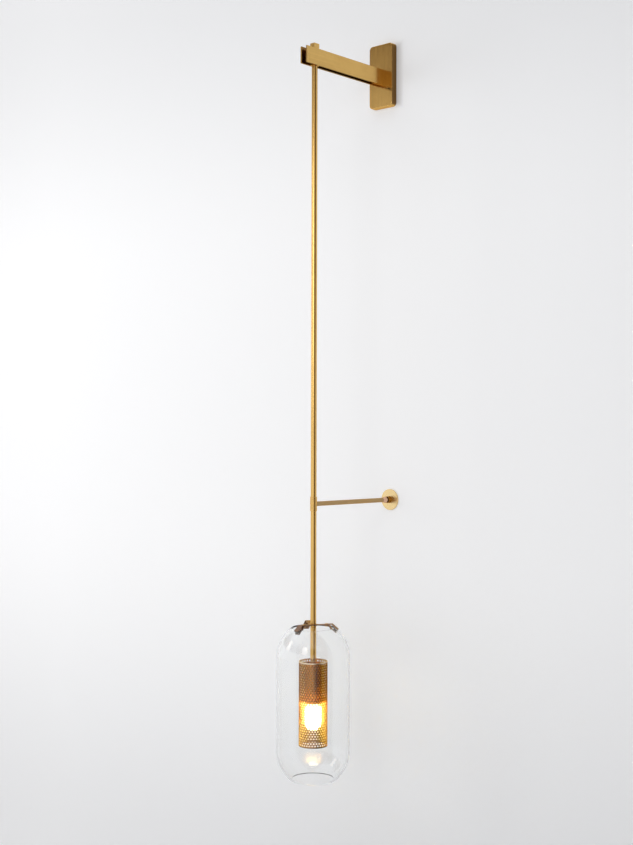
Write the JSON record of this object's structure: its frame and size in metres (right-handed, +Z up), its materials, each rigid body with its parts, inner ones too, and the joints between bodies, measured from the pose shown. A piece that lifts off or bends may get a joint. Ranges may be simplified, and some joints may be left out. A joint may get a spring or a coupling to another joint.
{
  "type": "wall sconce",
  "caption": "Wall sconce with a twin-bar arm that hangs a long rod, a capsule glass shade round a perforated light tube, and a slim stay back to the wall.",
  "frame": {"origin": "on the wall, at the middle of the wall plate's back and of the strap's slot pattern", "axes": "+Z up along the wall, +Y into the wall, so the lamp stands out towards -Y, and +X to the right as seen from the room"},
  "size_m": [0.1324, 0.2674, 1.3701],
  "materials": {
    "plate_brass": "satin brushed brass",
    "arm_brass": "satin brushed brass",
    "block_brass": "satin brass",
    "rod_brass": "satin drawn brass",
    "stay_brass": "satin drawn brass",
    "rose_brass": "satin turned brass",
    "spider_brass": "satin pressed brass",
    "screw_brass": "turned brass",
    "tube_brass": "satin perforated brass",
    "cup_brass": "satin brass",
    "plated_steel": "zinc plated",
    "terminal_plastic": "plain moulded",
    "contact_brass": "bright",
    "holder_ceramic": "white glaze",
    "ring_plastic": "dark brown moulded",
    "pad_silicone": "pale translucent",
    "clear_glass": "clear polished",
    "bulb_clear": "clear",
    "cap_nickel": "nickel plated",
    "stem_ceramic": "matt white",
    "filament_lit": "glowing phosphor coat"
  },
  "bodies": {
    "wall_arm": {"wall_plate": "plate_brass", "mounting_strap": "plated_steel", "cover_screws": "screw_brass", "earth_screw": "plated_steel", "terminal_block": "terminal_plastic", "terminal_screws": "contact_brass", "arm_backing_plate": "plated_steel", "arm_root_block": "block_brass", "arm_root_screws": "plated_steel", "arm_bar_right": "arm_brass", "arm_bar_left": "arm_brass", "bar_screws": "screw_brass", "wire_conduit": "block_brass", "hanger_block": "block_brass", "hanger_bolt": "block_brass", "swivel_washer": "block_brass"},
    "rod_and_shade": {"drop_rod": "rod_brass", "spider_stop_ring": "rod_brass", "claw_spider": "spider_brass", "claw_leaf_front": "spider_brass", "claw_leaf_right": "spider_brass", "claw_leaf_left": "spider_brass", "claw_screws": "screw_brass", "perforated_tube": "tube_brass", "tube_rim_top": "tube_brass", "tube_rim_bottom": "tube_brass", "lampholder_cup": "cup_brass", "tube_carrier": "cup_brass", "rod_nipple": "plated_steel", "nipple_nut": "plated_steel", "contact_shell": "contact_brass", "centre_contact": "contact_brass", "lampholder_body": "holder_ceramic", "claw_pads": "pad_silicone", "glass_shade": "clear_glass"},
    "stay": {"stay_collar": "stay_brass", "collar_set_screw": "screw_brass", "stay_rod": "stay_brass", "stay_ferrule": "stay_brass", "swivel_ball": "stay_brass"},
    "rose": {"wall_rose": "rose_brass"},
    "nut": {"knurled_nut": "rose_brass"},
    "bulb": {"bulb_glass": "bulb_clear", "bulb_cap": "cap_nickel", "bulb_tip": "cap_nickel", "bulb_stem": "stem_ceramic", "bulb_filaments": "filament_lit"},
    "ring": {"shade_ring": "ring_plastic"}
  },
  "joints": [
    {"name": "rod_turn", "type": "hinge", "parent": "wall_arm", "child": "rod_and_shade", "pos_m": [0, -0.2012, 0], "axis": [0, 0, 1], "range_deg": [-170, 170]},
    {"name": "stay_height", "type": "slide", "parent": "wall_arm", "child": "stay", "axis": [0, 0, 1], "range_m": [-0.2, 0.7]},
    {"name": "rose_swivel", "type": "hinge", "parent": "stay", "child": "rose", "pos_m": [0.0153, -0.00746, -0.8116], "axis": [0, 0, 1], "range_deg": [-17, 9]},
    {"name": "nut_turn", "type": "hinge", "parent": "rose", "child": "nut", "pos_m": [0.0153, -0.00746, -0.8116], "axis": [0, 1, 0], "continuous": true},
    {"name": "bulb_out", "type": "slide", "parent": "rod_and_shade", "child": "bulb", "axis": [0, 0, 1], "range_m": [-0.17, 0]},
    {"name": "ring_turn", "type": "hinge", "parent": "rod_and_shade", "child": "ring", "pos_m": [0, -0.2012, -1.16], "axis": [0, 0, 1], "continuous": true}
  ]
}
